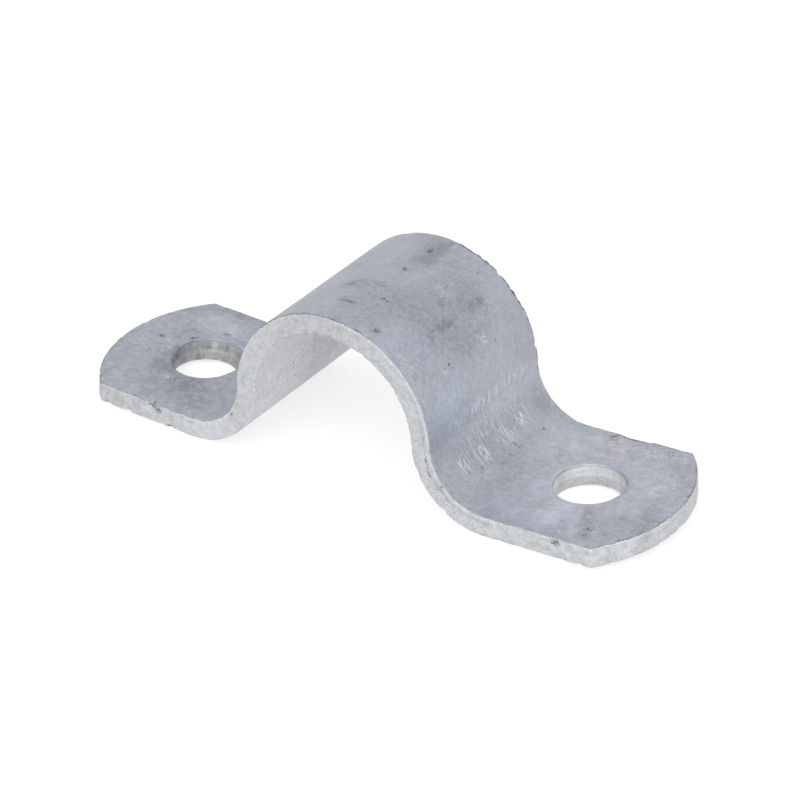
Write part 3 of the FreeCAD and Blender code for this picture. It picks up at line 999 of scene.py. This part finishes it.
def plain_zinc(tree, finish, zinc, masks):
    """Colours of the rolled faces, the under side, the cut faces and the holes."""
    shade = plus(tree, times(tree, zinc.cloud, 0.55), zinc.mottle, 0.45)
    rolled = mix(tree, shade, colour(finish.rolled), colour(finish.rolled_dark))
    tint = mix(tree, zinc.warmth, colour(finish.cool), colour(finish.warm))
    rolled = mix(tree, 1.0, rolled, tint, "MULTIPLY")
    rolled = mix(tree, masks.seat, rolled, colour(finish.seat))
    speckled = times(tree, zinc.speckle, plus(tree, 0.15, zinc.mottle, 0.9))
    dull = plus(tree, times(tree, zinc.coarse, 0.28), speckled, 0.60)
    dull = plus(tree, dull, zinc.grain, 0.22)
    cut = mix(tree, remap(tree, dull, 0.10, 0.90), colour(finish.cut), colour(finish.cut_dark))
    cut = mix(tree, masks.hole, cut, colour(finish.hole))
    return mix(tree, masks.cut, rolled, cut)


def zinc_tone(tree, zinc, masks):
    """How light the zinc is, 1 being its plain colour."""
    in_clouds = plus(tree, times(tree, zinc.mottle, TONE.grain_in_mottle), zinc.cloud, TONE.grain_in_clouds)
    uncut = calculate(tree, "SUBTRACT", 1.0, masks.cut)
    level = calculate(tree, "ADD", zinc.tone, 0.5)
    level = swing(tree, level, zinc.grain, in_clouds)
    level = swing(tree, level, zinc.coarse, plus(tree, TONE.coarse, masks.sheared, TONE.coarse_on_cuts))
    level = swing(tree, level, zinc.mottle, TONE.mottle)
    level = swing(tree, level, zinc.fibres, times(tree, uncut, TONE.fibres))
    level = plus(tree, level, masks.burr, TONE.burr)
    level = plus(tree, level, times(tree, masks.lip, masks.cut, zinc.mottle), TONE.lip)
    return add(tree, "ShaderNodeCombineXYZ", {"X": level, "Y": level, "Z": level}).outputs[0]


def spot_distance(tree, place, centre, reach):
    """Distance from a spot on the bar, given in millimetres from the blank's middle: 1 at its reach."""
    offset = vector_maths(tree, "SUBTRACT", place, [value * MM for value in centre])
    part = vector_maths(tree, "DIVIDE", offset, [value * MM for value in reach])
    return add(tree, "ShaderNodeVectorMath", {0: part}, operation="LENGTH").outputs["Value"]


def pit_distance(tree, place):
    """Distance from the nearest pit: 1 at its reach."""
    face_up = BAR.thick / 2 / MM
    pits = [(along, across, face_up, *reach, FACE_PIT_DEPTH) for along, across, *reach in FACE_PITS]
    pits += EDGE_PITS
    return combine(tree, "MINIMUM", [spot_distance(tree, place, spot[:3], spot[3:]) for spot in pits])


def zinc_ash_and_edge_shade(tree, zinc, masks, pit):
    """How much ash covers the zinc in scattered dots, crowds of specks and pits, and how much painted shade
    and ash lie along the edges.
    """
    dots = dot_group()
    scattered = use(tree, dots, Place=zinc.place, Spacing=3.2, Radius=0.22, Share=0.10)
    specks = use(tree, dots, Place=zinc.place, Spacing=0.62, Radius=0.26, Share=times(tree, zinc.crowd, 0.85))
    return largest(
        tree, times(tree, scattered, COVER.scattered), times(tree, specks, COVER.specks),
        times(tree, masks.rim, COVER.edges),
        times(tree, remap(tree, swing(tree, pit, zinc.grain, 1.6), 0.95, 0.35), COVER.pits),
    )


def zinc_material(finish):
    """Dull hot-dip zinc: clouded on the rolled faces, paler and grainy on the cut edges, their paleness
    partly painted light.
    """
    material, tree = new_material("hot_dip_zinc")
    zinc = zinc_fields(tree)
    masks = edge_masks(tree, zinc)
    pit = pit_distance(tree, zinc.place)
    ash_and_shade = zinc_ash_and_edge_shade(tree, zinc, masks, pit)
    flecks = times(tree, remap(tree, zinc.grain, 0.55, 0.95), remap(tree, zinc.crowd, 0.0, -1.0))
    lines = times(tree, largest(tree, zinc.long_lines, times(tree, zinc.short_lines, 0.8)), zinc.rubbing)

    base = mix(tree, 1.0, plain_zinc(tree, finish, zinc, masks), zinc_tone(tree, zinc, masks), "MULTIPLY")
    for share, cover in (
        (times(tree, remap(tree, pit, 1.8, 0.6), COVER.stain), finish.stain),
        # Ash in the pits and specks, and painted shade along the sharp edges.
        (ash_and_shade, finish.ash_and_shade),
        (times(tree, flecks, COVER.flecks), finish.bright),
        (times(tree, zinc.scores, zinc.rubbing, COVER.scores), finish.rolled_dark),
        (times(tree, lines, COVER.lines), finish.bright),
    ):
        base = mix(tree, share, base, colour(cover))

    roughness = plus(tree, ROUGHNESS.plain, zinc.mottle, ROUGHNESS.mottle)
    roughness = plus(tree, roughness, masks.cut, ROUGHNESS.cuts)
    roughness = plus(tree, roughness, lines, ROUGHNESS.lines)

    relief = times(tree, zinc.grain, plus(tree, RELIEF.grain, masks.sheared, RELIEF.grain_on_cuts))
    relief = plus(tree, relief, times(tree, zinc.coarse, masks.sheared), RELIEF.coarse_on_cuts)
    relief = plus(tree, relief, zinc.mottle, RELIEF.mottle)
    relief = plus(tree, relief, ash_and_shade, RELIEF.ash_and_shade)
    relief = plus(tree, relief, lines, RELIEF.lines)
    inputs = {"Strength": RELIEF_STRENGTH, "Distance": RELIEF_HEIGHT, "Height": relief}
    normal = add(tree, "ShaderNodeBump", inputs).outputs[0]

    inputs = {"Base Color": base, "Roughness": roughness, "Metallic": METALLIC, "Normal": normal}
    shader = add(tree, "ShaderNodeBsdfPrincipled", inputs)
    add(tree, "ShaderNodeOutputMaterial", {"Surface": shader.outputs[0]})
    return material


# -------------------- the stage

# Lamps: azimuth and elevation in degrees, distance and width in metres.
KEY_LAMP = (4, 46, 0.9, 0.6)
FILL_LAMP = (58, 16, 0.8, 0.4)

# Floor: width in metres, how light the strap and its shadow find it, and the glow that makes it look white.
FLOOR_WIDTH = 6
FLOOR_MATT = 0.85
FLOOR_SHADOW = 0.42
FLOOR_GLOW = 0.68

# Camera: width of its sensor in millimetres, and how near it sees.
SENSOR_WIDTH = 36
CLIP_START = 10 * MM


def grey(level):
    """Grey as a node takes it, 1 being white."""
    return (level, level, level, 1)


def seen_directly(tree):
    """1 for what the camera sees itself or in a gloss, 0 for light that falls on the strap."""
    path = tree.nodes.new("ShaderNodeLightPath").outputs
    return largest(tree, path["Is Camera Ray"], path["Is Glossy Ray"])


def floor_material():
    """Pale floor that looks white and keeps the strap's soft shadow."""
    material, tree = new_material("pale_floor")
    matt = add(tree, "ShaderNodeBsdfDiffuse", {"Color": grey(FLOOR_MATT)})
    shadow = add(tree, "ShaderNodeBsdfDiffuse", {"Color": grey(FLOOR_SHADOW)})
    glow = add(tree, "ShaderNodeEmission", {"Color": grey(1), "Strength": FLOOR_GLOW})
    shown = add(tree, "ShaderNodeAddShader", {0: shadow.outputs[0], 1: glow.outputs[0]})
    both = add(tree, "ShaderNodeMixShader", {0: seen_directly(tree), 1: matt.outputs[0], 2: shown.outputs[0]})
    add(tree, "ShaderNodeOutputMaterial", {"Surface": both.outputs[0]})
    return material


def outward(azimuth, elevation):
    """Direction from the strap towards a camera or lamp."""
    flat = math.cos(elevation)
    return Vector((math.sin(azimuth) * flat, -math.cos(azimuth) * flat, math.sin(elevation)))


def soft_lamp(scene, name, place, level):
    """Square lamp turned to the strap. Level is what it adds to a white face turned to it."""
    azimuth, elevation, distance, width = place
    data = bpy.data.lights.new(name, "AREA")
    data.size = width
    data.energy = level * math.pi ** 2 * distance ** 2
    lamp = bpy.data.objects.new(name, data)
    towards = outward(math.radians(azimuth), math.radians(elevation))
    lamp.location = towards * distance
    lamp.rotation_euler = towards.to_track_quat("Z", "Y").to_euler()
    scene.collection.objects.link(lamp)


def room_light(scene, strength):
    """World that lights the strap from all round, and looks white."""
    world = bpy.data.worlds.new("room")
    scene.world = world
    world.use_nodes = True
    tree = world.node_tree
    tree.nodes.clear()
    shown = remap(tree, seen_directly(tree), 0.0, 1.0, strength, 1.0)
    light = add(tree, "ShaderNodeBackground", {"Color": grey(1), "Strength": shown})
    add(tree, "ShaderNodeOutputWorld", {"Surface": light.outputs[0]})


def place_camera(scene, studio):
    """Camera at its angle and distance from the strap."""
    camera = bpy.data.objects.new("camera", bpy.data.cameras.new("camera"))
    scene.collection.objects.link(camera)
    towards = outward(studio.azimuth, studio.elevation)
    aim = Vector((studio.aim_x, 0, studio.aim_z))
    level = towards.to_track_quat("Z", "Y").to_matrix().to_4x4()
    camera.matrix_world = (
        Matrix.Translation(aim + towards * studio.distance) @ level @ Matrix.Rotation(studio.roll, 4, "Z")
    )
    camera.data.lens = studio.lens
    camera.data.sensor_width = SENSOR_WIDTH
    camera.data.clip_start = CLIP_START
    scene.camera = camera


def build_stage(context):
    """Floor, room light, lamps and camera."""
    scene = context.scene
    studio = scene.studio_stage
    bpy.ops.mesh.primitive_plane_add(size=FLOOR_WIDTH)
    floor = context.active_object
    floor.name = "floor"
    floor.data.materials.append(floor_material())

    room_light(scene, studio.room)
    soft_lamp(scene, "key_lamp", KEY_LAMP, studio.key)
    soft_lamp(scene, "fill_lamp", FILL_LAMP, studio.fill)
    place_camera(scene, studio)
    scene.view_settings.view_transform = "Standard"


# -------------------- the add-on


class STRAP_OT_build_strap(bpy.types.Operator):
    """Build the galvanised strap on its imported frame"""

    bl_idname = "strap.build_strap"
    bl_label = "Build strap"

    def execute(self, context):
        build_strap(context)
        return {"FINISHED"}


class STRAP_OT_build_stage(bpy.types.Operator):
    """Add the floor, the lamps and the camera"""

    bl_idname = "strap.build_stage"
    bl_label = "Build stage"

    def execute(self, context):
        build_stage(context)
        return {"FINISHED"}


class STRAP_PT_sidebar(bpy.types.Panel):
    """The strap's sizes, finish and stage"""

    bl_idname = "STRAP_PT_sidebar"
    bl_label = "Conduit strap"
    bl_space_type = "VIEW_3D"
    bl_region_type = "UI"
    bl_category = "Strap"

    def draw(self, context):
        scene = context.scene
        for group, operator in (
            (scene.strap_shape, STRAP_OT_build_strap),
            (scene.zinc_finish, None),
            (scene.studio_stage, STRAP_OT_build_stage),
        ):
            box = self.layout.box()
            for name in group.__annotations__:
                box.prop(group, name)
            if operator:
                box.operator(operator.bl_idname)


CLASSES = (StrapShape, ZincFinish, StudioStage, STRAP_OT_build_strap, STRAP_OT_build_stage, STRAP_PT_sidebar)
GROUPS = {"strap_shape": StrapShape, "zinc_finish": ZincFinish, "studio_stage": StudioStage}


def register():
    for cls in CLASSES:
        bpy.utils.register_class(cls)
    for name, group in GROUPS.items():
        setattr(bpy.types.Scene, name, PointerProperty(type=group))


def unregister():
    for name in GROUPS:
        delattr(bpy.types.Scene, name)
    for cls in reversed(CLASSES):
        bpy.utils.unregister_class(cls)


def main():
    """Builds the strap and its stage."""
    register()
    bpy.ops.strap.build_strap()
    bpy.ops.strap.build_stage()


if __name__ == "__main__":
    main()
